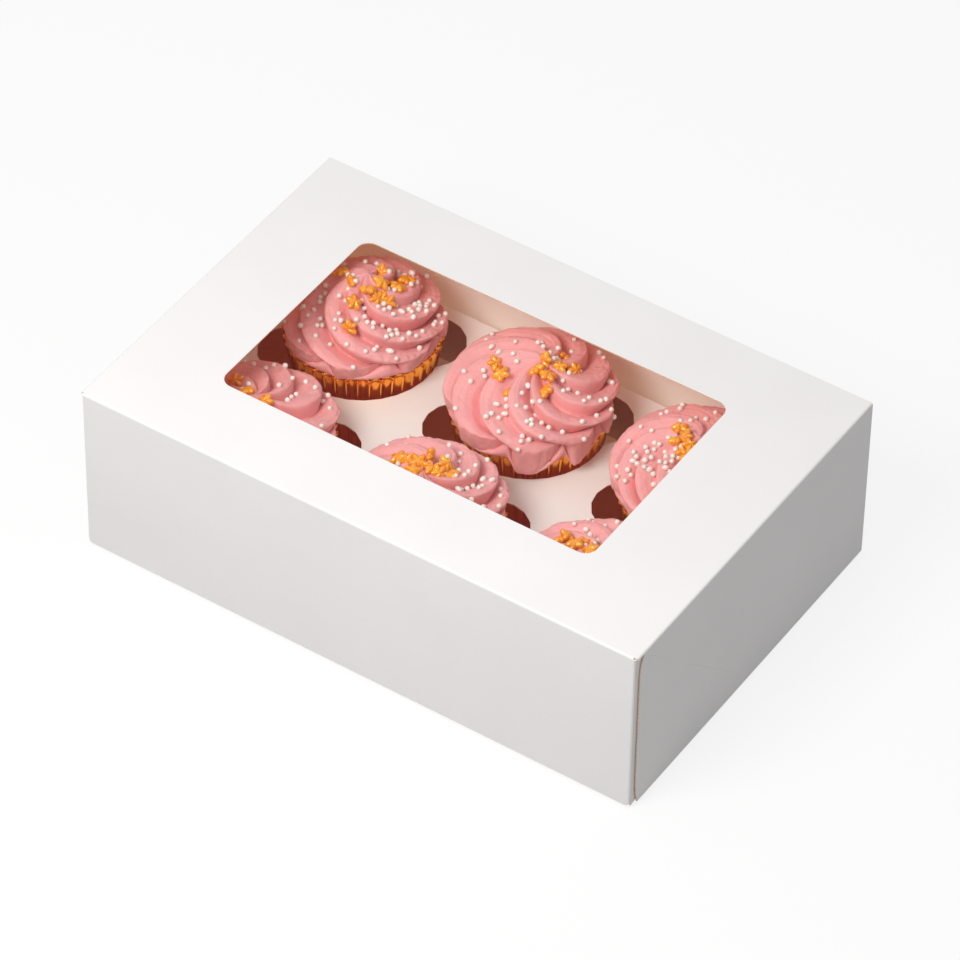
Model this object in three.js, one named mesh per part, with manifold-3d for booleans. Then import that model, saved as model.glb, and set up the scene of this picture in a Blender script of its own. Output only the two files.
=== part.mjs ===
// A windowed carton for six cupcakes: glued tray, hinged lid with a clear window,
// punched holder and six frosted cupcakes in fluted foil cases.
// X runs along the box, Y from front to back, Z up; the origin is under the middle of the box.
import * as THREE from 'three';
import { mergeVertices } from 'three/addons/utils/BufferGeometryUtils.js';
import Module from 'manifold-3d';

const wasm = await Module();
wasm.setup();

// Driving sizes in millimetres
const BOX_LENGTH = 241;
const BOX_DEPTH = 159;
const BOX_HEIGHT = 76;
const BOARD = 0.5;
const GAP = 0.3; // between sheets and pieces that touch
const FOLD_RADIUS = 0.9; // outside of a crease
const FLAP_LIFT = 0.8; // the lid's flaps end this far above the table

// Lid
const WINDOW_LENGTH = 161.3;
const WINDOW_DEPTH = 94.3;
const WINDOW_CORNER = 5;
const WINDOW_OFFSET = [-1.8, 1.3];
const FILM = 0.2;
const FILM_OVERLAP = 9; // glued margin of the film round the window
const EAR_LENGTH = 26; // glue ears of the front flap, behind the side flaps
const EAR_TAPER = 5;
const FRONT_CORNER = 2.5; // rounded lower corners of the front flap
const FLAP_SETBACK_TOP = 5; // side flap's front edge behind the box's front, at the crease
const FLAP_SETBACK = 2.7;
const FLAP_SETBACK_FOOT = 4.2;
const FLAP_SWEEP = 13; // height over which the side flap's edge curves at its ends
const SCORE_WIDTH = 0.8; // diagonal score that lets the glued corner fold flat
const SCORE_DEPTH = 0.15;

// Tray
const TAB_LENGTH = 24; // corner glue tabs
const TAB_TAPER = 6;

// Holder for the cupcakes
const HOLDER_HEIGHT = 35.5; // top face above the table
const HOLDER_LEAN = 7.1; // its top ends this far inside the tray's front and back
const HOLDER_FOOT_PLAY = 0.6;
const HOLE_BRIDGE = [15, 10]; // least card between two holes, along X and Y
const HOLE_EDGE = [12.3, 7]; // card between the outer holes and the top's edge
const LOBE_SHARE = 0.477; // finger notches at two sides of each hole, as shares of its radius
const LOBE_OFFSET = [0.647, 0.553];
const HOLE_SIDES = 30;
const LOBE_SIDES = 16;

// Foil cases and sponges
const CASE_BASE_SHARE = 0.717; // of the rim's radius
const CASE_HEIGHT = 45;
const CASE_WALL = 0.4;
const FLUTES = 42;
const FLUTE_SHARE_RIM = 0.07; // depth of a flute as a share of the radius there
const FLUTE_SHARE_BASE = 0.045;
const SPONGE_SINK = 2; // sponge ends this far under the rim of its case
const SPONGE_SIDES = 12;

// Frosting: a star nozzle's ridges, wound up to a tip
const RIDGES = 8;
const RIDGE_SAMPLES = 4;
const RIDGE_DEPTH = 0.13; // share of the radius
const SWIRL_TURN = 1.9; // radians that the ridges wind from tip to skirt
const SWIRL_POWER = 1.8; // roundness of the shoulder
const SWIRL_LEVELS = [0, 0.3, 0.56, 0.8, 1]; // shares of the rise above the widest place
const SKIRT_RISE = 1.6;
const SKIRT_SHARE = 0.97; // underside's radius as a share of the swirl's
const TIP_SHARE = 0.05; // tip's radius as a share of the swirl's
const STAR_ROOM = 4.4; // left for star sprinkles between the tallest swirl and the film

// Star sprinkles
const STAR_RADIUS = 3.6;
const STAR_WAIST = 1.9;
const STAR_EDGE = 0.6;
const STAR_PUFF = 1.3;
const STAR_SPACING = 4.8;
const STAR_BED = 0.2; // how far a star settles between two ridges
const STAR_SPIN = 1.1; // turn from one star to the next
const STAR_SEARCH_STEPS = 12; // halvings that find the swirl's skin under a star

// The six cupcakes as piped by hand, back row first.
// shift: place in its hole; radius: of the swirl; lean: of its tip; stars: middle of the cluster
// from the axis, all as shares of the case's rim radius; height and bulge: of the swirl, as shares
// of the room under the film; turn: of the first ridge; count: of the stars
const CUPCAKES = [
  { column: -1, row: 1, shift: [0.02, 0.01], radius: 0.993, height: 1, bulge: 0.163,
    lean: [0.033, 0.033], turn: 0.3, stars: [0.167, 0.057], count: 5 },
  { column: 0, row: 1, shift: [0.02, 0.01], radius: 1.073, height: 0.918, bulge: 0.286,
    lean: [0.1, 0.133], turn: 0, stars: [0.21, 0.053], count: 6 },
  { column: 1, row: 1, shift: [-0.02, -0.007], radius: 1.08, height: 0.878, bulge: 0.245,
    lean: [-0.033, 0.033], turn: 0.6, stars: [-0.25, -0.017], count: 4 },
  { column: -1, row: -1, shift: [0, 0], radius: 1.007, height: 0.714, bulge: 0.163,
    lean: [0, 0.033], turn: 0.2, stars: [-0.1, 0.033], count: 4 },
  { column: 0, row: -1, shift: [0, 0], radius: 1.007, height: 0.857, bulge: 0.184,
    lean: [0, 0], turn: 0.5, stars: [-0.033, 0.083], count: 6 },
  { column: 1, row: -1, shift: [0, 0], radius: 1.007, height: 0.837, bulge: 0.184,
    lean: [0, 0], turn: 0.1, stars: [-0.133, 0.05], count: 4 },
];

// Sizes worked out from the driving ones
const lidHalfLength = BOX_LENGTH / 2;
const lidHalfDepth = BOX_DEPTH / 2;
const earHalfLength = lidHalfLength - BOARD - GAP;
const trayHalfLength = earHalfLength - BOARD - GAP;
const trayTop = BOX_HEIGHT - BOARD - GAP;
const trayFront = -lidHalfDepth + BOARD + GAP;
const trayBack = lidHalfDepth;
const trayMiddle = (trayFront + trayBack) / 2;
const trayHalfDepth = (trayBack - trayFront) / 2;
const tabHalfLength = trayHalfLength - BOARD - GAP;
const floorTop = BOARD + GAP;
const caseFoot = floorTop;
const foldTop = BOX_HEIGHT - FOLD_RADIUS;
const filmTop = BOX_HEIGHT - BOARD - GAP;
const holderHalfLength = tabHalfLength - BOARD - GAP;
const holderTopHalfDepth = trayHalfDepth - HOLDER_LEAN;
const holeRadius = Math.min(
  (holderHalfLength - HOLE_BRIDGE[0] - HOLE_EDGE[0]) / 3,
  (holderTopHalfDepth - HOLE_BRIDGE[1] / 2 - HOLE_EDGE[1]) / 2);
const pitchX = holderHalfLength - HOLE_EDGE[0] - holeRadius;
const pitchY = 2 * (holderTopHalfDepth - HOLE_EDGE[1] - holeRadius);
const rimRadius = holeRadius;
const baseRadius = rimRadius * CASE_BASE_SHARE;
const fluteDepthRim = rimRadius * FLUTE_SHARE_RIM;
const fluteDepthBase = baseRadius * FLUTE_SHARE_BASE;
const swirlSeat = CASE_HEIGHT + GAP;
const swirlRoom = filmTop - FILM - STAR_ROOM - swirlSeat - caseFoot;

// Frames that lay a flat outline in the plane named, with its thickness along the third axis
const ALONG_X = new THREE.Matrix4().makeBasis(
  new THREE.Vector3(0, 1, 0), new THREE.Vector3(0, 0, 1), new THREE.Vector3(1, 0, 0));
const ALONG_Y = new THREE.Matrix4().makeBasis(
  new THREE.Vector3(1, 0, 0), new THREE.Vector3(0, 0, 1), new THREE.Vector3(0, -1, 0));

function solid(geometry) {
  geometry.deleteAttribute('normal');
  geometry.deleteAttribute('uv');
  const merged = mergeVertices(geometry, 1e-4);
  return new wasm.Manifold(new wasm.Mesh({
    numProp: 3,
    vertProperties: new Float32Array(merged.attributes.position.array),
    triVerts: new Uint32Array(merged.index.array),
  }));
}

function geometryOf(body) {
  const mesh = body.getMesh();
  const geometry = new THREE.BufferGeometry();
  geometry.setAttribute('position', new THREE.BufferAttribute(mesh.vertProperties, 3));
  geometry.setIndex(new THREE.BufferAttribute(mesh.triVerts, 1));
  geometry.computeVertexNormals();
  return geometry;
}

function extruded(shape, depth, curveSegments = 8) {
  return new THREE.ExtrudeGeometry(shape, { depth, bevelEnabled: false, curveSegments });
}

// Flat outlines (x, y), (y, z) and (x, z) made into plates between two places on the third axis
function plateZ(shape, from, to, curveSegments) {
  return solid(extruded(shape, to - from, curveSegments).translate(0, 0, from));
}

function plateX(shape, from, to, curveSegments) {
  return solid(extruded(shape, to - from, curveSegments).applyMatrix4(ALONG_X).translate(from, 0, 0));
}

function plateY(shape, from, to, curveSegments) {
  return solid(extruded(shape, to - from, curveSegments).applyMatrix4(ALONG_Y).translate(0, to, 0));
}

// Section of a card sheet folded along a path of outer corners, with the card to the path's left
function foldedSheet(path, thickness = BOARD, radius = FOLD_RADIUS, steps = 3) {
  const corners = path.map(([x, y]) => new THREE.Vector2(x, y));
  const runs = corners.slice(1).map((corner, i) => corner.clone().sub(corners[i]).normalize());
  const lefts = runs.map((run) => new THREE.Vector2(-run.y, run.x));
  const side = (offset) => {
    const points = [corners[0].clone().addScaledVector(lefts[0], offset)];
    for (let i = 1; i < runs.length; i += 1) {
      const turn = Math.acos(THREE.MathUtils.clamp(runs[i - 1].dot(runs[i]), -1, 1));
      const centre = corners[i].clone()
        .addScaledVector(runs[i - 1], -radius * Math.tan(turn / 2))
        .addScaledVector(lefts[i - 1], radius);
      const start = Math.atan2(-lefts[i - 1].y, -lefts[i - 1].x);
      for (let step = 0; step <= steps; step += 1) {
        const angle = start + (turn * step) / steps;
        const reach = radius - offset;
        points.push(new THREE.Vector2(
          centre.x + reach * Math.cos(angle), centre.y + reach * Math.sin(angle)));
      }
    }
    points.push(corners.at(-1).clone().addScaledVector(lefts.at(-1), offset));
    return points;
  };
  return new THREE.Shape([...side(0), ...side(thickness).reverse()]);
}

function polygon(points) {
  return new THREE.Shape(points.map(([x, y]) => new THREE.Vector2(x, y)));
}

function roundedRectangle(centre, length, depth, radius) {
  const [left, right] = [centre[0] - length / 2, centre[0] + length / 2];
  const [front, back] = [centre[1] - depth / 2, centre[1] + depth / 2];
  const shape = new THREE.Shape();
  shape.absarc(right - radius, back - radius, radius, 0, Math.PI / 2);
  shape.absarc(left + radius, back - radius, radius, Math.PI / 2, Math.PI);
  shape.absarc(left + radius, front + radius, radius, Math.PI, Math.PI * 1.5);
  shape.absarc(right - radius, front + radius, radius, Math.PI * 1.5, Math.PI * 2);
  return shape;
}

// Closed skin through rings of equal count, with a flat or pointed cap at each end
function loft(rings, startCap, endCap) {
  const count = rings[0].length;
  const positions = rings.flat().concat([startCap, endCap]).flatMap((p) => [p.x, p.y, p.z]);
  const first = rings.length * count;
  const index = [];
  for (let i = 0; i < count; i += 1) {
    const next = (i + 1) % count;
    index.push(first, next, i);
    for (let ring = 0; ring < rings.length - 1; ring += 1) {
      const low = ring * count;
      const high = low + count;
      index.push(low + i, low + next, high + next);
      index.push(low + i, high + next, high + i);
    }
    index.push(first + 1, first - count + i, first - count + next);
  }
  const geometry = new THREE.BufferGeometry();
  geometry.setAttribute('position', new THREE.Float32BufferAttribute(positions, 3));
  geometry.setIndex(index);
  geometry.computeVertexNormals();
  return geometry;
}

function ring(count, radiusAt, z, centre = [0, 0]) {
  return Array.from({ length: count }, (_, i) => {
    const angle = (i / count) * Math.PI * 2;
    const radius = radiusAt(i, angle);
    return new THREE.Vector3(
      centre[0] + radius * Math.cos(angle), centre[1] + radius * Math.sin(angle), z);
  });
}

// Shallow diagonal score on a side wall, from its front top corner to its foot
function score(face, front, top, foot) {
  const drop = top - foot;
  const length = Math.hypot(drop, drop);
  const groove = new THREE.Shape([
    new THREE.Vector2(-SCORE_DEPTH, 0),
    new THREE.Vector2(SCORE_DEPTH, -SCORE_WIDTH / 2),
    new THREE.Vector2(SCORE_DEPTH, SCORE_WIDTH / 2),
  ]);
  const geometry = extruded(groove, length).rotateX(-Math.PI * 0.75);
  return solid(geometry.translate(face, front, top));
}

function makeLid() {
  const cross = foldedSheet([
    [lidHalfLength, FLAP_LIFT], [lidHalfLength, BOX_HEIGHT],
    [-lidHalfLength, BOX_HEIGHT], [-lidHalfLength, FLAP_LIFT]]);
  let lid = plateY(cross, -lidHalfDepth + FOLD_RADIUS, lidHalfDepth);

  // Front edge of the side flaps: set back from the corner, curved away at its ends
  const front = -lidHalfDepth;
  const edge = new THREE.Shape();
  edge.moveTo(front - GAP, foldTop);
  edge.lineTo(front - GAP, 0);
  edge.lineTo(front + FLAP_SETBACK_FOOT, 0);
  edge.quadraticCurveTo(front + FLAP_SETBACK, FLAP_SWEEP / 2, front + FLAP_SETBACK, FLAP_SWEEP);
  edge.lineTo(front + FLAP_SETBACK, foldTop - FLAP_SWEEP);
  edge.quadraticCurveTo(front + FLAP_SETBACK, foldTop - FLAP_SWEEP / 4,
    front + FLAP_SETBACK_TOP, foldTop);
  const trim = plateX(edge, lidHalfLength - BOARD - GAP / 2, lidHalfLength + GAP, 5);
  const groove = score(lidHalfLength, front + FLAP_SETBACK_TOP, foldTop, 0);
  lid = lid.subtract(trim).subtract(trim.mirror([1, 0, 0]));
  lid = lid.subtract(groove).subtract(groove.mirror([1, 0, 0]));

  const corner = foldedSheet([
    [front + FOLD_RADIUS * 3, BOX_HEIGHT], [front, BOX_HEIGHT], [front, foldTop - FOLD_RADIUS * 2]]);
  const crease = plateX(corner, -earHalfLength + FOLD_RADIUS, earHalfLength - FOLD_RADIUS);

  const wrap = foldedSheet([
    [-earHalfLength, front + EAR_LENGTH], [-earHalfLength, front],
    [earHalfLength, front], [earHalfLength, front + EAR_LENGTH]]);
  const earEnd = front + EAR_LENGTH + GAP;
  const lower = polygon([[front + FOLD_RADIUS, 0], [earEnd, 0],
    [earEnd, FLAP_LIFT + EAR_TAPER], [front + FOLD_RADIUS, FLAP_LIFT]]);
  const upper = polygon([[front + EAR_LENGTH - EAR_TAPER, BOX_HEIGHT],
    [earEnd, BOX_HEIGHT], [earEnd, foldTop - EAR_TAPER * 3]]);
  const footCorner = new THREE.Shape();
  footCorner.moveTo(earHalfLength + GAP, FLAP_LIFT - GAP);
  footCorner.lineTo(earHalfLength + GAP, FLAP_LIFT + FRONT_CORNER);
  footCorner.lineTo(earHalfLength, FLAP_LIFT + FRONT_CORNER);
  footCorner.absarc(earHalfLength - FRONT_CORNER, FLAP_LIFT + FRONT_CORNER, FRONT_CORNER,
    0, -Math.PI / 2, true);
  footCorner.lineTo(earHalfLength - FRONT_CORNER, FLAP_LIFT - GAP);
  const rounding = plateY(footCorner, front - GAP, front + FOLD_RADIUS, 4);
  let flap = plateZ(wrap, FLAP_LIFT, foldTop);
  flap = flap.subtract(plateX(lower, -lidHalfLength, lidHalfLength));
  flap = flap.subtract(plateX(upper, -lidHalfLength, lidHalfLength));
  flap = flap.subtract(rounding).subtract(rounding.mirror([1, 0, 0]));

  const opening = roundedRectangle(WINDOW_OFFSET, WINDOW_LENGTH, WINDOW_DEPTH, WINDOW_CORNER);
  const window = plateZ(opening, BOX_HEIGHT - BOARD - GAP, BOX_HEIGHT + GAP, 6);
  return lid.add(crease).add(flap).subtract(window);
}

function makeFilm() {
  const outline = roundedRectangle(WINDOW_OFFSET, WINDOW_LENGTH + 2 * FILM_OVERLAP,
    WINDOW_DEPTH + 2 * FILM_OVERLAP, WINDOW_CORNER);
  return plateZ(outline, filmTop - FILM, filmTop, 1);
}

function makeTray() {
  const across = foldedSheet([
    [-trayHalfLength, trayTop], [-trayHalfLength, 0], [trayHalfLength, 0], [trayHalfLength, trayTop]]);
  const along = foldedSheet([
    [trayFront, trayTop], [trayFront, 0], [trayBack, 0], [trayBack, trayTop]]);
  const sides = plateY(across, trayFront + FOLD_RADIUS, trayBack - FOLD_RADIUS);
  const ends = plateX(along, -tabHalfLength + FOLD_RADIUS, tabHalfLength - FOLD_RADIUS);

  // Front wall with its glue tabs, turned in at both corners; the back wall is its mirror
  const wrap = foldedSheet([
    [-tabHalfLength, trayFront + TAB_LENGTH], [-tabHalfLength, trayFront],
    [tabHalfLength, trayFront], [tabHalfLength, trayFront + TAB_LENGTH]]);
  const tabEnd = trayFront + TAB_LENGTH;
  const bevel = (z, rise) => plateX(polygon([[tabEnd - TAB_TAPER, z],
    [tabEnd + GAP, z], [tabEnd + GAP, z + rise]]), -trayHalfLength, trayHalfLength);
  const wall = plateZ(wrap, FOLD_RADIUS, trayTop)
    .subtract(bevel(trayTop + GAP, -2 * TAB_TAPER)).subtract(bevel(0, 2 * TAB_TAPER));
  const backWall = wall.translate([0, -trayMiddle, 0]).mirror([0, 1, 0]).translate([0, trayMiddle, 0]);

  const groove = score(trayHalfLength, trayFront + FOLD_RADIUS, trayTop, FOLD_RADIUS);
  return sides.add(ends).add(wall).add(backWall).subtract(groove).subtract(groove.mirror([1, 0, 0]));
}

function holeCentre({ column, row }) {
  return [column * pitchX, trayMiddle + (row * pitchY) / 2];
}

function makeHolder() {
  const halfFoot = trayHalfDepth - BOARD - HOLDER_FOOT_PLAY;
  const section = foldedSheet([
    [trayMiddle + halfFoot, floorTop], [trayMiddle + holderTopHalfDepth, HOLDER_HEIGHT],
    [trayMiddle - holderTopHalfDepth, HOLDER_HEIGHT], [trayMiddle - halfFoot, floorTop]]);
  let holder = plateX(section, -holderHalfLength, holderHalfLength);
  const [low, high] = [HOLDER_HEIGHT - BOARD - GAP, HOLDER_HEIGHT + GAP];
  const disc = (x, y, radius, sides) => solid(
    new THREE.CylinderGeometry(radius, radius, high - low, sides).rotateX(Math.PI / 2)
      .translate(x, y, (low + high) / 2));
  for (const cupcake of CUPCAKES) {
    const [x, y] = holeCentre(cupcake);
    const [lobeX, lobeY] = LOBE_OFFSET.map((share) => share * holeRadius);
    const lobeRadius = LOBE_SHARE * holeRadius;
    const hole = disc(x, y, holeRadius, HOLE_SIDES)
      .add(disc(x + lobeX, y + lobeY, lobeRadius, LOBE_SIDES))
      .add(disc(x - lobeX, y - lobeY, lobeRadius, LOBE_SIDES));
    holder = holder.subtract(hole);
  }
  return holder;
}

// Thin cup with a zigzag wall: each flute is one ridge and one valley
function makeCase() {
  const fluted = (radius, depth) => (i) => radius + (i % 2 === 0 ? depth / 2 : -depth / 2);
  const count = FLUTES * 2;
  const [foot, rim] = [0, CASE_HEIGHT];
  const rings = [
    ring(count, fluted(baseRadius, fluteDepthBase), foot),
    ring(count, fluted(rimRadius, fluteDepthRim), rim),
    ring(count, fluted(rimRadius - CASE_WALL, fluteDepthRim), rim),
    ring(count, fluted(baseRadius - CASE_WALL, fluteDepthBase), foot + CASE_WALL),
  ];
  return loft(rings, new THREE.Vector3(0, 0, foot), new THREE.Vector3(0, 0, foot + CASE_WALL));
}

function caseBore(height) {
  const share = height / CASE_HEIGHT;
  const radius = THREE.MathUtils.lerp(baseRadius, rimRadius, share);
  const depth = THREE.MathUtils.lerp(fluteDepthBase, fluteDepthRim, share);
  return radius - depth / 2 - CASE_WALL;
}

function makeSponge() {
  const foot = CASE_WALL + GAP;
  const top = CASE_HEIGHT - SPONGE_SINK;
  const rings = [
    ring(SPONGE_SIDES, () => caseBore(foot) - GAP * 2, foot),
    ring(SPONGE_SIDES, () => caseBore(top) - GAP * 2, top),
  ];
  return loft(rings, new THREE.Vector3(0, 0, foot), new THREE.Vector3(0, 0, top));
}

// Radius, height over its seat and leaning axis of the smooth swirl, at a share of its rise
function swirlProfile({ radius, height, bulge, lean }, share) {
  return {
    radius: rimRadius * radius * (1 - (1 - TIP_SHARE) * share ** SWIRL_POWER),
    z: swirlRoom * (bulge + (height - bulge) * share),
    centre: lean.map((side) => side * rimRadius * share),
  };
}

// Share of the swirl's radius that its ridges leave at an angle
function ridgeShare(cupcake, share, angle) {
  const wound = angle - cupcake.turn + SWIRL_TURN * share;
  const lobe = Math.abs(Math.sin((RIDGES * wound) / 2));
  return 1 - RIDGE_DEPTH * (1 - lobe);
}

// Frosting over the rim of its case, in the cupcake's own frame with z from the case's foot
function makeFrosting(cupcake) {
  const count = RIDGES * RIDGE_SAMPLES;
  const widest = rimRadius * cupcake.radius;
  const foot = CASE_HEIGHT - SPONGE_SINK + GAP;
  const plugRadius = caseBore(CASE_HEIGHT - SPONGE_SINK) - GAP * 2;
  const ridge = (radius, share) => (i, angle) => radius * ridgeShare(cupcake, share, angle);
  const rings = [
    ring(count, () => plugRadius, foot),
    ring(count, () => plugRadius, swirlSeat),
    ring(count, ridge(widest * SKIRT_SHARE, 0), swirlSeat),
    ring(count, ridge(widest, 0), swirlSeat + SKIRT_RISE),
  ];
  for (const share of SWIRL_LEVELS) {
    const level = swirlProfile(cupcake, share);
    rings.push(ring(count, ridge(level.radius, share), swirlSeat + level.z, level.centre));
  }
  const tip = swirlProfile(cupcake, 1);
  return loft(rings, new THREE.Vector3(0, 0, foot),
    new THREE.Vector3(tip.centre[0], tip.centre[1], swirlSeat + tip.z + tip.radius));
}

// Puffed five-pointed star, lying flat round its own middle
function makeStar() {
  const outline = (i) => (i % 2 === 0 ? STAR_RADIUS : STAR_WAIST);
  const rings = [ring(10, outline, -STAR_EDGE), ring(10, outline, STAR_EDGE)];
  return loft(rings, new THREE.Vector3(0, 0, -STAR_PUFF), new THREE.Vector3(0, 0, STAR_PUFF));
}

// Height of the swirl's skin at a point beside the axis
function swirlHeight(cupcake, x, y) {
  let share = 1;
  const widest = rimRadius * cupcake.radius;
  for (let step = 0; step < STAR_SEARCH_STEPS; step += 1) {
    const { centre } = swirlProfile(cupcake, share);
    const angle = Math.atan2(y - centre[1], x - centre[0]);
    const reach = Math.hypot(x - centre[0], y - centre[1]);
    const full = widest * ridgeShare(cupcake, share, angle);
    share = (share + Math.max(1 - reach / full, 0) ** (1 / SWIRL_POWER)) / 2;
  }
  return swirlSeat + swirlProfile(cupcake, share).z + TIP_SHARE * widest;
}

// Cluster of stars stuck to each other, each lying on the swirl's skin
function makeStars(cupcake) {
  const spread = STAR_RADIUS / 2;
  let cluster = null;
  for (let i = 0; i < cupcake.count; i += 1) {
    const angle = cupcake.turn * 3 + (i * Math.PI * 2) / (cupcake.count - 1);
    const reach = i === 0 ? 0 : STAR_SPACING;
    const x = rimRadius * cupcake.stars[0] + reach * Math.cos(angle);
    const y = rimRadius * cupcake.stars[1] + reach * Math.sin(angle);
    const fallX = swirlHeight(cupcake, x - spread, y) - swirlHeight(cupcake, x + spread, y);
    const fallY = swirlHeight(cupcake, x, y - spread) - swirlHeight(cupcake, x, y + spread);
    const up = new THREE.Vector3(fallX, fallY, 2 * spread).normalize();
    const lay = new THREE.Quaternion().setFromUnitVectors(new THREE.Vector3(0, 0, 1), up);
    const star = makeStar().rotateZ(i * STAR_SPIN).applyQuaternion(lay).translate(x, y, 0);
    const corners = star.attributes.position;
    let rise = 0;
    for (let k = 0; k < corners.count; k += 1) {
      const skin = swirlHeight(cupcake, corners.getX(k), corners.getY(k));
      rise = Math.max(rise, skin - corners.getZ(k));
    }
    const placed = solid(star.translate(0, 0, rise - STAR_BED));
    cluster = cluster ? cluster.add(placed) : placed;
  }
  return cluster;
}

const whiteCard = { color: '#f4f2ef', roughness: 0.55, metalness: 0 };
const MATERIALS = {
  card: new THREE.MeshStandardMaterial(whiteCard),
  holderCard: new THREE.MeshStandardMaterial({ ...whiteCard, color: '#f6ede6' }),
  film: new THREE.MeshStandardMaterial({
    color: '#ffffff', roughness: 0.05, metalness: 0, transparent: true, opacity: 0.15 }),
  foil: new THREE.MeshStandardMaterial({ color: '#b5652a', roughness: 0.3, metalness: 0.9 }),
  sponge: new THREE.MeshStandardMaterial({ color: '#d9a35c', roughness: 0.9, metalness: 0 }),
  frosting: new THREE.MeshStandardMaterial({ color: '#f08f93', roughness: 0.5, metalness: 0 }),
  stars: new THREE.MeshStandardMaterial({ color: '#f79a1c', roughness: 0.35, metalness: 0.2 }),
};

const box = new THREE.Group();

function add(parent, name, geometry, material) {
  const mesh = new THREE.Mesh(geometry, material);
  mesh.name = name;
  parent.add(mesh);
}

add(box, 'base_tray', geometryOf(makeTray()), MATERIALS.card);
add(box, 'holder', geometryOf(makeHolder()), MATERIALS.holderCard);
CUPCAKES.forEach((cupcake, i) => {
  const number = i + 1;
  const [x, y] = holeCentre(cupcake);
  const group = new THREE.Group();
  group.position.set(x + rimRadius * cupcake.shift[0], y + rimRadius * cupcake.shift[1], caseFoot);
  add(group, `case_${number}`, makeCase(), MATERIALS.foil);
  add(group, `sponge_${number}`, makeSponge(), MATERIALS.sponge);
  add(group, `frosting_${number}`, makeFrosting(cupcake), MATERIALS.frosting);
  add(group, `stars_${number}`, geometryOf(makeStars(cupcake)), MATERIALS.stars);
  box.add(group);
});
add(box, 'lid', geometryOf(makeLid()), MATERIALS.card);
add(box, 'window_film', geometryOf(makeFilm()), MATERIALS.film);

export default box;
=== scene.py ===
"""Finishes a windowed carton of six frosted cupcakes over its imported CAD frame.

Lengths are in metres and the frame is the CAD model's: X along the box, Y to the hinge, Z up.
"""

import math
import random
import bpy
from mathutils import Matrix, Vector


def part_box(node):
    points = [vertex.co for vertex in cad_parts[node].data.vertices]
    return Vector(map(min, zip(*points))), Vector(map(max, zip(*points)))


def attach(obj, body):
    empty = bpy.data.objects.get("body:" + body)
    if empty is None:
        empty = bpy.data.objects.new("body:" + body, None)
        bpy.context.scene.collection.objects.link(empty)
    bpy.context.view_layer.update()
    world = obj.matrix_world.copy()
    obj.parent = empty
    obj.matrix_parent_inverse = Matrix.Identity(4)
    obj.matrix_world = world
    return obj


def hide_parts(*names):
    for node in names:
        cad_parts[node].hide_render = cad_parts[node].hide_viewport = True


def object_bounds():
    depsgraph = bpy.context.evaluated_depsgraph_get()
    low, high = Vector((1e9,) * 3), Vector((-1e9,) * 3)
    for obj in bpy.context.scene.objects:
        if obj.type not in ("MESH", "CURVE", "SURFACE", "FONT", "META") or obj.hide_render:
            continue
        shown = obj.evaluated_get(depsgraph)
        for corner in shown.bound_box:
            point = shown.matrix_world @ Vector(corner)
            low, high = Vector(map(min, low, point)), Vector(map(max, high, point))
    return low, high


bl_info = {
    "name": "Cupcake Box",
    "version": (1, 0, 0),
    "blender": (4, 5, 0),
    "location": "3D View > Sidebar > Cupcake Box",
    "description": "Windowed carton with frosted cupcakes in pleated foil cases",
    "category": "Object",
}

import bmesh
import bpy
import numpy as np
from mathutils import Matrix, Quaternion, Vector, noise
from mathutils.bvhtree import BVHTree

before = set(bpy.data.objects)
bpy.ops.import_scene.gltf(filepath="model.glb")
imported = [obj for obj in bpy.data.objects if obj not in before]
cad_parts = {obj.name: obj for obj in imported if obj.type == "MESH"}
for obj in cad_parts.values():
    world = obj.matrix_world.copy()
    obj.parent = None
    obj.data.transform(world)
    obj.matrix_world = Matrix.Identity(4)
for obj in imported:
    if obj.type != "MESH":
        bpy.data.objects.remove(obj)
cad_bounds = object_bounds()

MM = 0.001
CUPCAKES = range(1, 7)

# Camera of the photograph, fitted to the carton's corners and the window
PHOTO_WIDTH = 960
CAMERA_PLACE = Vector((0.87488, -1.33930, 1.57646))
CAMERA_RIGHT = Vector((0.83123, 0.55579, 0.01226))
CAMERA_DOWN = Vector((0.39310, -0.57205, -0.71989))
CAMERA_FORWARD = Vector((-0.39309, 0.60321, -0.69398))
CAMERA_LENS = 226.0
CAMERA_SENSOR = 36.0

# The one soft lamp, above the front and a little to the left, and the ground
KEY_PLACE = Vector((-0.095, -0.49, 0.675))
KEY_TARGET = Vector((0, 0, 0.05))
KEY_SIZE = 0.40
KEY_COLOR = (1.0, 0.985, 0.965)
FLOOR_HALF = 6.0
FLOOR_LEVEL = -0.2 * MM

# Planes just below the coated skins, past which a face belongs to the outside of lid or tray
HALF_LENGTH, HALF_DEPTH, BOX_HEIGHT = cad_bounds[1]
LID_SIDE = HALF_LENGTH - 0.95 * MM
LID_FRONT = 0.35 * MM - HALF_DEPTH
LID_TOP = BOX_HEIGHT - 0.35 * MM
TRAY_SIDE = HALF_LENGTH - 1.75 * MM
TRAY_FRONT = 1.0 * MM - HALF_DEPTH
TRAY_BACK = HALF_DEPTH - 0.25 * MM
TRAY_FOOT = 0.25 * MM

# The space below the holder: under its upper skin and between the folds of its legs, where painted
# shade goes
HOLDER_SKIN = 35.2 * MM
LEG_FOLD = 66 * MM

# Where the lid's cut edges show: round the window, along the side flaps and at the foot
WINDOW_REACH = (100 * MM, 60 * MM)
WINDOW_RIM = BOX_HEIGHT - 0.8 * MM
FLAP_SIDE = HALF_LENGTH - 0.65 * MM
LID_FOOT = (0.6 * MM, 3.5 * MM)

# Painted glow: warm emission on the board's inside above and below the holder, in place of light let
# through the board
PAINTED_INSIDE_GLOW = (1.0, 0.42, 0.23, 1.0)
PAINTED_BELOW_GLOW = (0.40, 0.05, 0.01, 1.0)
NO_GLOW = (0.0, 0.0, 0.0, 1.0)

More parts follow.
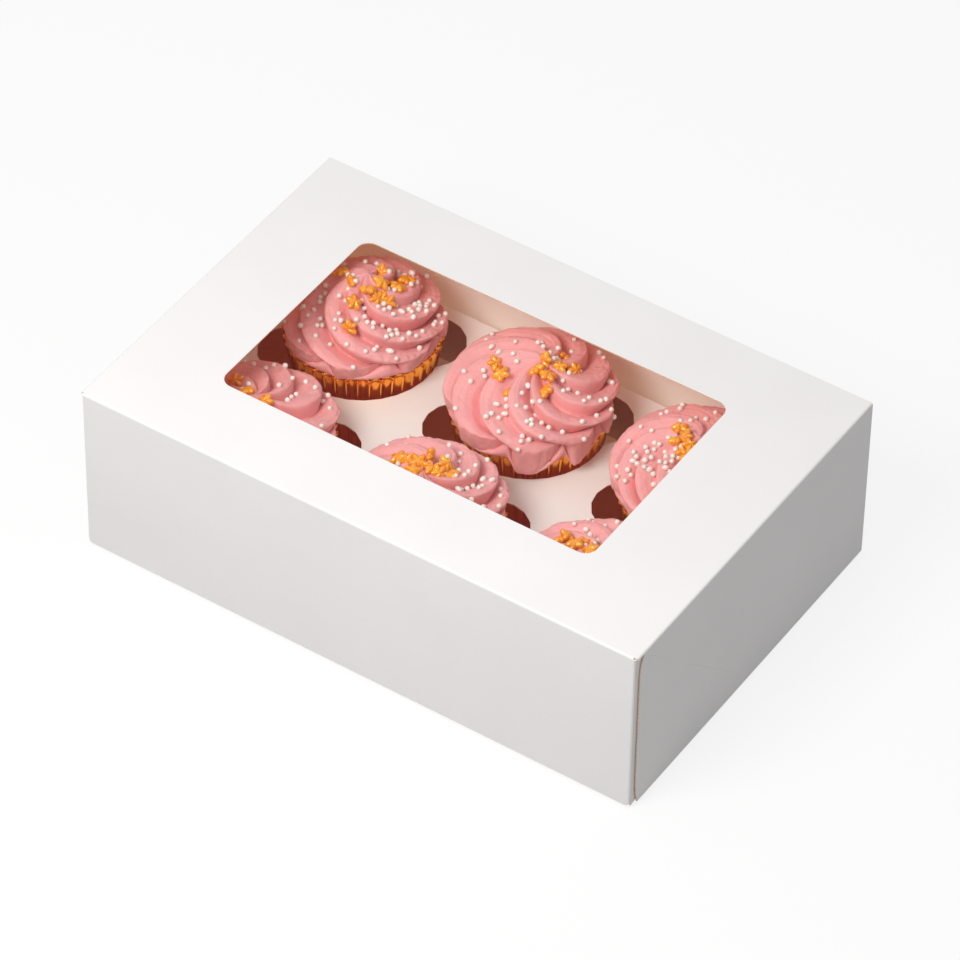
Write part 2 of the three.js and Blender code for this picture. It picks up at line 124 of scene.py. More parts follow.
# Mesh of a foil case, its foot's radius as a share of its rim's, and how uneven its pleats are
FLUTE_COLUMNS, CASE_ROWS = 12, 15
CASE_FOOT_SHARE = 0.71
FLUTE_WOBBLE, RIM_LIFT = 0.12, 0.18 * MM

# Mesh of a swirl: its rows under it, round its skirt and in all, and its columns
UNDER_ROWS, SKIRT_ROWS, SWIRL_ROWS = 8, 14, 92
SWIRL_COLUMNS = 360
SEAT_GAP = 0.3 * MM
PLUG_SHARE, PLUG_SINK = 0.87, 1.8 * MM
SKIRT_SHARE = 0.95
TIP_RISE = 0.4 * MM

# How unevenly swirls are piped: sway of the ridges' winding, spread of their depth, drag marks
RIDGE_SWAY = (0.10, 0.06)
RIDGE_SPREAD = (0.22, 0.15)
DRAG_DEPTH = 0.10 * MM

# Mesh of a star, its waist between two points as a share of its radius, and its brightest orange
STAR_COLUMNS, STAR_RINGS = 40, 6
STAR_WAIST = 0.60
STAR_BRIGHT = (1.0, 0.41, 0.006, 1.0)

# Share of the pearls that are drawn out to grains, and how far
GRAIN_SHARE = 0.06
GRAIN_LENGTH = (1.2, 1.7)

# How each cupcake was piped, in millimetres: radius, height and bulge of the swirl, lean of its
# tip, depth of its ridges, droop of its lobes, sag of those that face SAG_SIDE, and ragged for the
# size of its lumps. In radians: turn, where the first ridge starts, and wind, how far they wind.
# A higher power makes a fuller dome.
SAG_SIDE = -0.8
PIPING = {
    1: {"radius": 31.6, "height": 26.5, "bulge": 6.0, "lean": (1.5, 1.0), "turn": 0.3,
        "wind": 2.9, "ridges": 7, "depth": 7.0, "droop": 1.5, "sag": 0.0, "ragged": 0.8, "power": 1.4},
    2: {"radius": 32.6, "height": 21.5, "bulge": 7.0, "lean": (3.0, 3.5), "turn": 0.0,
        "wind": 1.8, "ridges": 9, "depth": 6.4, "droop": 4.0, "sag": 5.0, "ragged": 0.6, "power": 1.9},
    3: {"radius": 32.8, "height": 21.5, "bulge": 7.0, "lean": (-1.0, 1.0), "turn": 0.6,
        "wind": 1.9, "ridges": 9, "depth": 5.6, "droop": 3.0, "sag": 2.0, "ragged": 0.6, "power": 1.8},
    4: {"radius": 31.8, "height": 17.5, "bulge": 5.0, "lean": (0.0, 1.0), "turn": 0.2,
        "wind": 1.5, "ridges": 10, "depth": 6.0, "droop": 2.0, "sag": 1.0, "ragged": 0.6, "power": 1.8},
    5: {"radius": 31.8, "height": 20.5, "bulge": 6.0, "lean": (0.0, 0.0), "turn": 0.5,
        "wind": 2.0, "ridges": 9, "depth": 6.0, "droop": 2.0, "sag": 1.0, "ragged": 0.7, "power": 1.8},
    6: {"radius": 31.8, "height": 20.0, "bulge": 6.0, "lean": (0.0, 0.0), "turn": 0.1,
        "wind": 1.8, "ridges": 9, "depth": 6.0, "droop": 2.0, "sag": 1.0, "ragged": 0.7, "power": 1.8},
}

# Where star sprinkles lie in the photograph, in its pixels; upright ones stand on edge
STAR_PIXELS = {
    1: [(341, 273), (383, 274), (380, 284), (367, 291), (397, 289), (407, 282), (375, 299),
        (382, 297), (388, 301), (353, 303)],
    2: [(495, 364), (501, 375), (546, 359), (561, 356), (559, 369), (573, 369), (547, 377),
        (548, 390)],
    3: [(681, 429), (686, 437), (690, 446), (683, 452), (687, 457)],
    4: [(237, 381), (248, 392), (266, 401)],
    5: [(399, 459), (409, 462), (419, 464), (428, 468), (437, 472), (446, 466), (450, 476),
        (414, 472)],
    6: [(563, 541), (575, 546), (583, 545), (592, 552)],
}
UPRIGHT_PIXELS = {
    1: [(352, 282), (348, 332)],
    2: [(508, 393), (534, 369)],
    3: [(679, 441)],
    4: [],
    5: [(432, 460)],
    6: [(570, 538)],
}

# Where pearls lie dense in the photograph: pixel, reach in millimetres and how many
PEARL_PATCHES = {
    1: [((330, 300), 13, 34), ((405, 306), 9, 16), ((404, 328), 9, 16), ((434, 320), 6, 14),
        ((376, 328), 8, 10), ((384, 366), 5, 6), ((395, 283), 12, 10), ((410, 356), 8, 8)],
    2: [((470, 360), 12, 9), ((512, 415), 12, 14), ((540, 348), 12, 12), ((590, 385), 12, 14),
        ((560, 440), 16, 12), ((500, 445), 12, 8), ((600, 420), 8, 5)],
    3: [((655, 460), 10, 46), ((660, 430), 12, 12), ((632, 470), 10, 8)],
    4: [((300, 395), 12, 3), ((322, 407), 5, 2)],
    5: [((470, 480), 12, 14), ((455, 470), 8, 8), ((485, 500), 8, 6)],
    6: [((590, 530), 12, 8), ((603, 545), 6, 4)],
}


class CartonSettings(bpy.types.PropertyGroup):
    """Colours and surface of the carton's card and film."""

    board_color: bpy.props.FloatVectorProperty(
        name="Board", description="White coated side of the folding board",
        subtype="COLOR", size=3, min=0.0, max=1.0, default=(0.905, 0.890, 0.880))
    inside_color: bpy.props.FloatVectorProperty(
        name="Inside", description="Uncoated inner side of the board",
        subtype="COLOR", size=3, min=0.0, max=1.0, default=(0.98, 0.955, 0.90))
    holder_color: bpy.props.FloatVectorProperty(
        name="Holder", description="Food board of the punched holder",
        subtype="COLOR", size=3, min=0.0, max=1.0, default=(0.97, 0.92, 0.86))
    edge_color: bpy.props.FloatVectorProperty(
        name="Cut Edge", description="Raw fibre that shows where the board is cut",
        subtype="COLOR", size=3, min=0.0, max=1.0, default=(0.90, 0.64, 0.46))
    # Painted shade: dark red-brown for the board's inside in the closed space below the holder
    cellar_shade_color: bpy.props.FloatVectorProperty(
        name="Below Holder", description="Uncoated board in the closed space below the holder",
        subtype="COLOR", size=3, min=0.0, max=1.0, default=(0.78, 0.40, 0.25))
    # Painted glow: strength of the warm emission on the board's inside, in place of light let through
    # the board
    painted_board_glow: bpy.props.FloatProperty(
        name="Board Glow", description="Warm light that the thin board lets through to its inside",
        min=0.0, max=1.0, default=0.105)
    film_alpha: bpy.props.FloatProperty(
        name="Film Opacity", description="How much of the view the window film hides",
        subtype="FACTOR", min=0.0, max=1.0, default=0.01)
    fibre_size: bpy.props.FloatProperty(
        name="Fibre Size", description="Width of the board's fibre texture",
        unit="LENGTH", min=0.00005, max=0.01, default=0.0006)


class CaseSettings(bpy.types.PropertyGroup):
    """Sizes and colour of the pleated foil cases."""

    flutes: bpy.props.IntProperty(
        name="Flutes", description="Pleats round one case", min=12, max=80, default=42)
    flute_depth: bpy.props.FloatProperty(
        name="Flute Depth", description="Depth of a pleat at the rim",
        unit="LENGTH", min=0.0002, max=0.004, default=0.0024)
    notch: bpy.props.FloatProperty(
        name="Rim Notch", description="How far the rim dips between its ridges",
        unit="LENGTH", min=0.0, max=0.004, default=0.0005)
    wall: bpy.props.FloatProperty(
        name="Wall", description="Thickness of the foil and its paper liner",
        unit="LENGTH", min=0.0001, max=0.001, default=0.00025)
    foil_color: bpy.props.FloatVectorProperty(
        name="Foil", description="Copper-gold outside of the foil",
        subtype="COLOR", size=3, min=0.0, max=1.0, default=(0.98, 0.37, 0.035))
    liner_color: bpy.props.FloatVectorProperty(
        name="Liner", description="Greyish paper inside of the foil",
        subtype="COLOR", size=3, min=0.0, max=1.0, default=(0.42, 0.30, 0.28))


class FrostingSettings(bpy.types.PropertyGroup):
    """Look of the piped frosting and of what is strewn on it."""

    frosting_color: bpy.props.FloatVectorProperty(
        name="Frosting", description="Pink buttercream",
        subtype="COLOR", size=3, min=0.0, max=1.0, default=(0.905, 0.405, 0.395))
    sponge_color: bpy.props.FloatVectorProperty(
        name="Sponge", description="Baked sponge under the frosting",
        subtype="COLOR", size=3, min=0.0, max=1.0, default=(0.66, 0.38, 0.13))
    star_color: bpy.props.FloatVectorProperty(
        name="Stars", description="Pearlescent orange sugar stars",
        subtype="COLOR", size=3, min=0.0, max=1.0, default=(1.0, 0.33, 0.002))
    pearl_color: bpy.props.FloatVectorProperty(
        name="Pearls", description="White sugar pearls",
        subtype="COLOR", size=3, min=0.0, max=1.0, default=(0.95, 0.88, 0.80))
    star_radius: bpy.props.FloatProperty(
        name="Star Radius", description="From a star's middle to its points",
        unit="LENGTH", min=0.001, max=0.01, default=0.0038)
    star_puff: bpy.props.FloatProperty(
        name="Star Puff", description="Half of a star's thickness in its middle",
        unit="LENGTH", min=0.0003, max=0.004, default=0.0017)
    pearl_radius: bpy.props.FloatProperty(
        name="Pearl Radius", description="Radius of one pearl",
        unit="LENGTH", min=0.0003, max=0.003, default=0.00104)
    loose_pearls: bpy.props.IntProperty(
        name="Loose Pearls", description="Pearls strewn evenly over each swirl",
        min=0, max=300, default=34)


class StageSettings(bpy.types.PropertyGroup):
    """Lamps and ground."""

    key_power: bpy.props.FloatProperty(
        name="Key Light", description="Power of the large lamp above the front, in watts",
        min=0.0, max=200.0, default=4.1)
    ambient: bpy.props.FloatProperty(
        name="Ambient", description="Even light of the studio from all round",
        min=0.0, max=2.0, default=0.54)
    floor_color: bpy.props.FloatVectorProperty(
        name="Floor", description="White ground that the box stands on",
        subtype="COLOR", size=3, min=0.0, max=1.0, default=(0.93, 0.93, 0.93))
    floor_glow: bpy.props.FloatProperty(
        name="Floor Glow", description="Share of plain white in the floor as the camera sees it",
        subtype="FACTOR", min=0.0, max=1.0, default=0.82)
    floor_bounce: bpy.props.FloatProperty(
        name="Floor Bounce", description="Share of its light that the floor throws back on the box",
        subtype="FACTOR", min=0.0, max=1.0, default=0.38)


class Finish:
    """One material and short ways to add nodes to it."""

    def __init__(self, name):
        self.material = bpy.data.materials.new(name)
        self.material.use_nodes = True
        tree = self.material.node_tree
        self.nodes = tree.nodes
        self.links = tree.links
        self.surface = self.nodes["Principled BSDF"]
        self.output = self.nodes["Material Output"]

    def node(self, kind, inputs=None, **settings):
        """Adds a node and feeds its inputs, named or numbered."""
        made = self.nodes.new(kind)
        for name, value in settings.items():
            setattr(made, name, value)
        for socket, value in (inputs or {}).items():
            self.feed(made.inputs[socket], value)
        return made

    def feed(self, socket, value):
        """Links a socket to another one or sets its value."""
        if isinstance(value, bpy.types.NodeSocket):
            self.links.new(value, socket)
        else:
            socket.default_value = value

    def set(self, **values):
        """Feeds inputs of the surface, with _ for the spaces in their names."""
        for name, value in values.items():
            self.feed(self.surface.inputs[name.replace("_", " ")], value)

    def math(self, operation, first, second=0.0):
        """Result of one sum."""
        return self.node("ShaderNodeMath", {0: first, 1: second}, operation=operation).outputs[0]

    def between(self, value, low, high):
        """1 where value lies between low and high."""
        above = self.math("GREATER_THAN", value, low)
        below = self.math("LESS_THAN", value, high)
        return self.math("MULTIPLY", above, below)

    def ramp(self, value, low, high, start=0.0, end=1.0):
        """Value's place between low and high, drawn out from start to end."""
        made = self.node("ShaderNodeMapRange", {
            "Value": value, "From Min": low, "From Max": high, "To Min": start, "To Max": end})
        return made.outputs["Result"]

    def blend(self, share, first, second, mode="MIX"):
        """Mix of two colours."""
        made = self.node("ShaderNodeMix", {0: share, 6: first, 7: second},
                         data_type="RGBA", blend_type=mode)
        return made.outputs[2]

    def tones(self, value, color, dark, light, low=0.3, high=0.7):
        """A colour that goes from dark to light as value goes from low to high."""
        return self.blend(self.ramp(value, low, high), rgba(color, dark), rgba(color, light))

    def place(self):
        """Coordinates in the object's own frame."""
        return self.node("ShaderNodeTexCoord").outputs["Object"]

    def split(self, vector):
        """X, Y and Z of a vector."""
        return self.node("ShaderNodeSeparateXYZ", {0: vector}).outputs

    def noise(self, vector, size, detail=3.0, roughness=0.5, stretch=None):
        """Cloudy values round 0.5 with features of that size in metres."""
        if stretch:
            vector = self.node("ShaderNodeMapping", {0: vector, 3: stretch}).outputs[0]
        made = self.node("ShaderNodeTexNoise", {
            "Vector": vector, "Scale": 1.0 / size, "Detail": detail, "Roughness": roughness})
        return made.outputs[0]

    def bump(self, height, strength, distance, normal=None):
        """Normal of a surface that height raises by distance."""
        inputs = {"Height": height, "Strength": strength, "Distance": distance}
        if normal is not None:
            inputs["Normal"] = normal
        return self.node("ShaderNodeBump", inputs).outputs[0]


def rgba(color, share=1.0):
    """A colour made lighter or darker by share, for a socket."""
    return (color[0] * share, color[1] * share, color[2] * share, 1.0)


def board_finish(name, carton, coated, raw, printed_side, below=True):
    """Folding board with a painted warm glow, an emission, on its inside.

    printed_side gives 1 on its coated side. With below, its inside takes painted shade under the
    holder.
    """
    edge, fibre = carton.edge_color, carton.fibre_size
    finish = Finish(name)
    place = finish.place()
    fibres = finish.noise(place, fibre, detail=4.0, roughness=0.6)
    clouds = finish.noise(place, 0.035, detail=2.0)
    coated_side = printed_side(finish, place)
    low = cellar(finish, place) if below else 0.0
    # Painted shade: the inside below the holder takes the dark red-brown shade colour
    inner = finish.blend(low, rgba(raw), rgba(carton.cellar_shade_color))
    color = finish.blend(coated_side, inner, rgba(coated))
    mottle = finish.ramp(clouds, 0.3, 0.7, 0.975, 1.0)
    specks = finish.ramp(fibres, 0.35, 0.65, 0.985, 1.0)
    shade = finish.math("MULTIPLY", mottle, specks)
    color = finish.blend(1.0, color, finish.node(
        "ShaderNodeCombineColor", {0: shade, 1: shade, 2: shade}).outputs[0], mode="MULTIPLY")
    cut = cut_edges(finish, place)
    fuzz = finish.ramp(finish.noise(place, 0.0009, detail=2.0), 0.35, 0.65, 0.75, 1.0)
    edge_shade = finish.node("ShaderNodeCombineColor", {
        0: finish.math("MULTIPLY", fuzz, edge[0]),
        1: finish.math("MULTIPLY", fuzz, edge[1]),
        2: finish.math("MULTIPLY", fuzz, edge[2])}).outputs[0]
    color = finish.blend(cut, color, edge_shade)
    finish.set(Base_Color=color, Roughness=finish.ramp(fibres, 0.3, 0.7, 0.5, 0.62))
    # Painted glow: warm emission on the inside, dark red below the holder, none on the coated side
    warm = finish.blend(low, PAINTED_INSIDE_GLOW, PAINTED_BELOW_GLOW)
    finish.set(Emission_Color=finish.blend(coated_side, warm, NO_GLOW))
    surface = finish.surface.inputs
    surface["Emission Strength"].default_value = carton.painted_board_glow
    surface["Specular IOR Level"].default_value = 0.35
    wave = finish.noise(place, 0.05, detail=1.0)
    slow = finish.bump(wave, 0.25, 0.0006)
    finish.set(Normal=finish.bump(fibres, 0.12, 0.00005, slow))
    return finish


def cut_edges(finish, place):
    """1 on the cut edges of the lid: round the window, along the side flaps and at the foot."""
    x, y, z = finish.split(place)[0:3]
    normal = finish.node("ShaderNodeNewGeometry").outputs["True Normal"]
    up = finish.math("ABSOLUTE", finish.split(normal)[2])
    upright = finish.math("LESS_THAN", up, 0.4)
    across = finish.math("ABSOLUTE", x)
    rim = finish.math("MULTIPLY", upright, finish.math("LESS_THAN", across, WINDOW_REACH[0]))
    rim = finish.math("MULTIPLY", rim, finish.between(y, -WINDOW_REACH[1], WINDOW_REACH[1]))
    rim = finish.math("MULTIPLY", rim, finish.math("GREATER_THAN", z, WINDOW_RIM))
    forward = finish.math("GREATER_THAN", finish.math("ABSOLUTE", finish.split(normal)[1]), 0.5)
    flap = finish.math("MULTIPLY", forward, finish.math("GREATER_THAN", across, FLAP_SIDE))
    foot = finish.math("MULTIPLY", finish.math("GREATER_THAN", up, 0.5),
                       finish.between(z, *LID_FOOT))
    return finish.math("MAXIMUM", rim, finish.math("MAXIMUM", flap, foot))


def lid_outside(finish, place):
    """1 on the lid's coated outside: its skin on the box's own faces."""
    x, y, z = finish.split(place)[0:3]
    side = finish.math("GREATER_THAN", finish.math("ABSOLUTE", x), LID_SIDE)
    front = finish.math("LESS_THAN", y, LID_FRONT)
    top = finish.math("GREATER_THAN", z, LID_TOP)
    return finish.math("MAXIMUM", side, finish.math("MAXIMUM", front, top))


def tray_outside(finish, place):
    """1 on the tray's coated outside."""
    x, y, z = finish.split(place)[0:3]
    side = finish.math("GREATER_THAN", finish.math("ABSOLUTE", x), TRAY_SIDE)
    front = finish.math("LESS_THAN", y, TRAY_FRONT)
    back = finish.math("GREATER_THAN", y, TRAY_BACK)
    foot = finish.math("LESS_THAN", z, TRAY_FOOT)
    walls = finish.math("MAXIMUM", finish.math("MAXIMUM", front, back), foot)
    return finish.math("MAXIMUM", side, walls)


def cellar(finish, place):
    """1 in the closed space below the holder, between its legs."""
    y, z = finish.split(place)[1:3]
    within = finish.math("LESS_THAN", finish.math("ABSOLUTE", y), LEG_FOLD)
    return finish.math("MULTIPLY", within, finish.math("LESS_THAN", z, HOLDER_SKIN))


def holder_top(finish, place):
    """1 on the holder's upper face and its legs."""
    return finish.math("SUBTRACT", 1.0, cellar(finish, place))


def give_finish(obj, *finishes):
    """Makes these finishes an object's only ones."""
    obj.data.materials.clear()
    for finish in finishes:
        obj.data.materials.append(finish.material)


def finish_node(name, finish):
    """Puts a finish in a CAD node's material slots."""
    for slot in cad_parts[name].material_slots:
        slot.material = finish.material


def mesh_object(name, points, faces, finishes, second=None):
    """Smooth mesh object; faces listed in second take the second finish."""
    mesh = bpy.data.meshes.new(name)
    mesh.from_pydata([tuple(p) for p in points], [], [tuple(f) for f in faces])
    mesh.polygons.foreach_set("use_smooth", [True] * len(mesh.polygons))
    if second is not None:
        mesh.polygons.foreach_set("material_index", second)
    mesh.update()
    obj = bpy.data.objects.new(name, mesh)
    bpy.context.scene.collection.objects.link(obj)
    give_finish(obj, *finishes)
    return obj


def grid_faces(rows, columns, first=0):
    """Quads of a tube of rows, closed round its columns."""
    row, column = np.meshgrid(np.arange(rows - 1), np.arange(columns), indexing="ij")
    low = first + row * columns
    after = (column + 1) % columns
    quads = np.stack([low + column, low + after, low + columns + after, low + columns + column], -1)
    return quads.reshape(-1, 4)


def case_middle(number):
    """Foot of a case's axis and the height and radius of its rim."""
    low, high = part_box("case_%d" % number)
    foot = Vector(((low[0] + high[0]) / 2, (low[1] + high[1]) / 2, low[2]))
    return foot, high[2], (high[0] - low[0]) / 2


def pleat_case(number, settings, finishes):
    """A foil cup: narrow sharp pleats outwards and flatter panels between them."""
    foot, rim, reach = case_middle(number)
    columns = settings.flutes * FLUTE_COLUMNS
    angle = np.arange(columns) * 2 * math.pi / columns
    between = np.abs(np.sin(settings.flutes * angle / 2))
    base = reach * CASE_FOOT_SHARE
    random_source = np.random.default_rng(40 + number)
    wobble = np.repeat(random_source.normal(0, FLUTE_WOBBLE, settings.flutes), FLUTE_COLUMNS)
    lift = np.repeat(random_source.normal(0, RIM_LIFT, settings.flutes), FLUTE_COLUMNS)
    points = []
    for inner in (False, True):
        for row in range(CASE_ROWS):
            share = row / (CASE_ROWS - 1)
            depth = settings.flute_depth * (0.45 + 0.55 * share) * (1 + wobble)
            radius = base + (reach - base) * share - depth * between ** 0.5
            radius = radius - (settings.wall if inner else 0.0)
            notch = between ** 0.5 * settings.notch
            height = foot.z + (rim - foot.z) * share - notch * share ** 6 + lift * share ** 4
            height = height + (settings.wall if inner else 0.0) * (1 - share)
            x = foot.x + radius * np.cos(angle)
            y = foot.y + radius * np.sin(angle)
            points.append(np.stack([x, y, np.broadcast_to(height, x.shape)], -1))
    points = np.concatenate(points)
    start = CASE_ROWS * columns
    outer = grid_faces(CASE_ROWS, columns)
    inner = grid_faces(CASE_ROWS, columns, start)[:, ::-1]
    top = start - columns
    around = np.arange(columns)
    after = (around + 1) % columns
    lip = np.stack([top + around, top + after, top + start + after, top + start + around], -1)
    floors = [[foot.x, foot.y, foot.z], [foot.x, foot.y, foot.z + settings.wall]]
    under, over = len(points), len(points) + 1
    points = np.concatenate([points, floors])
    fan_out = [(under, after[i], around[i]) for i in range(columns)]
    fan_in = [(over, start + around[i], start + after[i]) for i in range(columns)]
    faces = outer.tolist() + lip.tolist() + fan_out + inner.tolist() + fan_in
    liner = [0] * (len(outer) + len(lip) + len(fan_out)) + [1] * (len(inner) + len(fan_in))
    obj = mesh_object("foil_case_%d" % number, points, faces, finishes, liner)
    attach(obj, "base")
    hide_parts("case_%d" % number)
    return obj


def foil_finish(settings):
    """Copper-gold foil with a fine crush and a patchy tone."""
    finish = Finish("pleated_foil")
    place = finish.place()
    crush = finish.noise(place, 0.0022, detail=3.0, stretch=(1.0, 1.0, 0.35))
    grime = finish.noise(place, 0.006, detail=2.0)
    color = finish.tones(grime, settings.foil_color, 0.85, 1.12)
    finish.set(Base_Color=color, Roughness=finish.ramp(crush, 0.3, 0.7, 0.15, 0.27))
    finish.surface.inputs["Metallic"].default_value = 0.95
    finish.set(Normal=finish.bump(crush, 0.22, 0.00012))
    return finish


def liner_finish(settings):
    """Thin paper inside of the foil, soaked a little."""
    finish = Finish("foil_liner")
    place = finish.place()
    stain = finish.noise(place, 0.004, detail=3.0)
    color = finish.tones(stain, settings.liner_color, 0.8, 1.2)
    finish.set(Base_Color=color)
    finish.surface.inputs["Roughness"].default_value = 0.5
    finish.surface.inputs["Metallic"].default_value = 0.35
    finish.set(Normal=finish.bump(finish.noise(place, 0.0008), 0.2, 0.0001))
    return finish


def swirl_grid(number, rows=SWIRL_ROWS, columns=SWIRL_COLUMNS):
    """Points of one piped swirl, from under it to its tip, and each point's place in the piping."""
    piping = PIPING[number]
    foot, rim, reach = case_middle(number)
    seat = rim + SEAT_GAP
    radius, height, bulge = (piping[key] * MM for key in ("radius", "height", "bulge"))
    profile, share = swirl_profile(radius, height, bulge, piping["power"], rows, reach)
    along = np.gradient(profile, axis=0)
    outward = np.stack([along[:, 1], -along[:, 0]], -1)
    outward /= np.linalg.norm(outward, axis=1, keepdims=True) + 1e-12
    angle = np.arange(columns) * 2 * math.pi / columns
    points = np.empty((rows, columns, 3))
    piped = np.empty((rows, columns, 3))
    source = random.Random(number)
    phases = [source.uniform(0, 2 * math.pi) for _ in range(6)]
    for row in range(rows):
        level = share[row]
        risen = min(max(level, 0.0), 1.0)
        wound = angle - piping["turn"] + piping["wind"] * risen
        wound = (wound + RIDGE_SWAY[0] * np.sin(wound + phases[0])
                 + RIDGE_SWAY[1] * np.sin(2 * wound + phases[1]))
        lobe = ridge_lobe(piping["ridges"] * wound / (2 * math.pi))
        size = (1 + RIDGE_SPREAD[0] * np.sin(3 * wound + phases[2])
                + RIDGE_SPREAD[1] * np.sin(5 * wound + phases[3]))
        local = profile[row, 0] / radius
        taper = min(1.0, local / 0.42) * min(1.0, max(0.0, (level + 0.27) / 0.06))
        fall = -piping["depth"] * MM * size * taper * (1 - lobe)
        fine = DRAG_DEPTH * taper * np.sin(piping["ridges"] * 5 * wound + 2 * np.sin(3 * wound))
        step = fall + fine
        reach_out = profile[row, 0] + step * outward[row, 0]
        droop = piping["droop"] * MM * (lobe - 0.5) * max(0.0, 1 - abs(level + 0.2) / 0.2)
        front = np.clip(np.cos(angle - SAG_SIDE), 0, 1) ** 4
        hang = min(1.0, max(0.0, (level + 0.6) / 0.3)) * min(1.0, max(0.0, (0.15 - level) / 0.4))
        sag = piping["sag"] * MM * front * lobe * hang
        reach_out = reach_out + 0.25 * sag
        lift = profile[row, 1] + step * outward[row, 1] - droop - sag
        x = foot.x + piping["lean"][0] * MM * risen + reach_out * np.cos(angle)
        y = foot.y + piping["lean"][1] * MM * risen + reach_out * np.sin(angle)
        points[row] = np.stack([x, y, seat + lift], -1)
        piped[row] = np.stack([np.cos(wound), np.sin(wound), np.full(columns, risen)], -1)
    roughen(points, outward, share, piping["ragged"] * MM, number)
    return points, piped


def ridge_lobe(turns, crest=0.2):
    """Height of a ridge, 0 to 1: it rises steeply out of its valley and falls away gently."""
    u = np.mod(turns, 1.0)
    rise = np.sin(np.clip(u / crest, 0, 1) * math.pi / 2) ** 0.9
    fall = np.cos(np.clip((u - crest) / (1 - crest), 0, 1) * math.pi / 2) ** 0.75
    return np.where(u < crest, rise, fall)


def swirl_profile(radius, height, bulge, power, rows, reach):
    """Radius and height of a smooth swirl over its seat, and the share risen of each row.

    The share is 0 at the widest row, 1 at the tip and below 0 round the skirt and underneath.
    """
    plug = reach * PLUG_SHARE
    profile, share = [], []
    foot = SKIRT_SHARE * radius
    for i in range(UNDER_ROWS):
        t = i / (UNDER_ROWS - 1)
        profile.append((plug + (foot - plug) * t, -PLUG_SINK * (1 - t)))
        share.append(-1.0 + 0.75 * t)
    for i in range(1, SKIRT_ROWS + 1):
        t = i / SKIRT_ROWS
        profile.append((foot + (radius - foot) * math.sin(t * math.pi / 2),
                        bulge * (1 - math.cos(t * math.pi / 2))))
        share.append(-0.25 + 0.25 * t)
    dome = rows - UNDER_ROWS - SKIRT_ROWS
    for i in range(1, dome + 1):
        t = i / dome
        profile.append((radius * (1 - 0.985 * t ** power), bulge + (height - bulge) * t))
        share.append(t)
    return np.array(profile), np.array(share)


def roughen(points, outward, share, size, number):
    """Small lumps and ragged crests that piped buttercream keeps."""
    rows, columns = points.shape[:2]
    offset = Vector((number * 1.7, number * 2.3, 0.0))
    angle = np.arange(columns) * 2 * math.pi / columns
    for row in range(rows):
        if share[row] < -0.3:
            continue
        for column in range(columns):
            point = Vector(points[row, column]) * 1000.0
            lump = noise.noise(point * 0.16 + offset)
            grain = noise.noise(point * 0.55 + offset)
            step = size * (0.9 * lump + 0.45 * grain)
            points[row, column, 0] += step * outward[row, 0] * math.cos(angle[column])
            points[row, column, 1] += step * outward[row, 0] * math.sin(angle[column])
            points[row, column, 2] += step * outward[row, 1]


def pipe_swirl(number, finish):
    """One swirl of frosting over its case."""
    points, piped = swirl_grid(number)
    rows, columns = points.shape[:2]
    flat = points.reshape(-1, 3)
    low = flat[:columns].mean(axis=0)
    high = flat[-columns:].mean(axis=0)
    high[2] += TIP_RISE
    faces = grid_faces(rows, columns).tolist()
    bottom, top = len(flat), len(flat) + 1
    last = (rows - 1) * columns
    for i in range(columns):
        after = (i + 1) % columns
        faces.append((bottom, after, i))
        faces.append((top, last + i, last + after))
    flat = np.concatenate([flat, [low, high]])
    obj = mesh_object("swirl_%d" % number, flat, faces, [finish])
    piped = np.concatenate([piped.reshape(-1, 3), [[0, 0, 0], [0, 0, 1]]])
    attribute = obj.data.attributes.new("piping", "FLOAT_VECTOR", "POINT")
    attribute.data.foreach_set("vector", piped.astype(np.float32).ravel())
    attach(obj, "base")
    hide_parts("frosting_%d" % number)
    return obj


def frosting_finish(settings):
    """Buttercream: soft light inside it, fine drag marks along the ridges and small pits."""
    finish = Finish("buttercream")
    place = finish.place()
    piped = finish.node("ShaderNodeAttribute", attribute_name="piping").outputs["Vector"]
    drag = finish.noise(piped, 0.055, detail=3.0, roughness=0.6, stretch=(1.0, 1.0, 0.12))
    grain = finish.noise(place, 0.0011, detail=3.0)
    tone = finish.noise(place, 0.012, detail=2.0)
    color = finish.tones(tone, settings.frosting_color, 0.95, 1.05)
    finish.set(Base_Color=color, Roughness=finish.ramp(drag, 0.3, 0.7, 0.42, 0.56))
    surface = finish.surface.inputs
    surface["Subsurface Weight"].default_value = 0.25
    surface["Subsurface Radius"].default_value = (1.0, 0.35, 0.28)
    surface["Subsurface Scale"].default_value = 0.0022
    surface["Specular IOR Level"].default_value = 0.4
    pits = finish.node("ShaderNodeTexVoronoi", {"Vector": place, "Scale": 420.0}).outputs["Distance"]
    pits = finish.ramp(pits, 0.0, 0.22)
    first = finish.bump(drag, 0.5, 0.0005)
    second = finish.bump(grain, 0.25, 0.0002, first)
    finish.set(Normal=finish.bump(pits, 0.25, 0.0003, second))
    return finish


def sponge_finish(settings):
    """Baked crumb."""
    finish = Finish("baked_sponge")
    place = finish.place()
    crumb = finish.noise(place, 0.0016, detail=5.0, roughness=0.7)
    color = finish.tones(crumb, settings.sponge_color, 0.6, 1.15, 0.35, 0.65)
    finish.set(Base_Color=color, Normal=finish.bump(crumb, 0.8, 0.0008))
    finish.surface.inputs["Roughness"].default_value = 0.9
    return finish


def star_finish(settings):
    """Pressed sugar with a pearl lustre."""
    finish = Finish("pearly_star")
    place = finish.place()
    grain = finish.noise(place, 0.0007, detail=2.0)
    tone = finish.noise(place, 0.0045, detail=1.0)
    color = finish.blend(finish.ramp(tone, 0.35, 0.65), rgba(settings.star_color, 0.9),
                         STAR_BRIGHT)
    finish.set(Base_Color=color, Roughness=finish.ramp(grain, 0.3, 0.7, 0.22, 0.36))
    surface = finish.surface.inputs
    surface["Metallic"].default_value = 0.1
    surface["Coat Weight"].default_value = 0.5
    surface["Coat Roughness"].default_value = 0.07
    finish.set(Normal=finish.bump(grain, 0.25, 0.00015))
    return finish


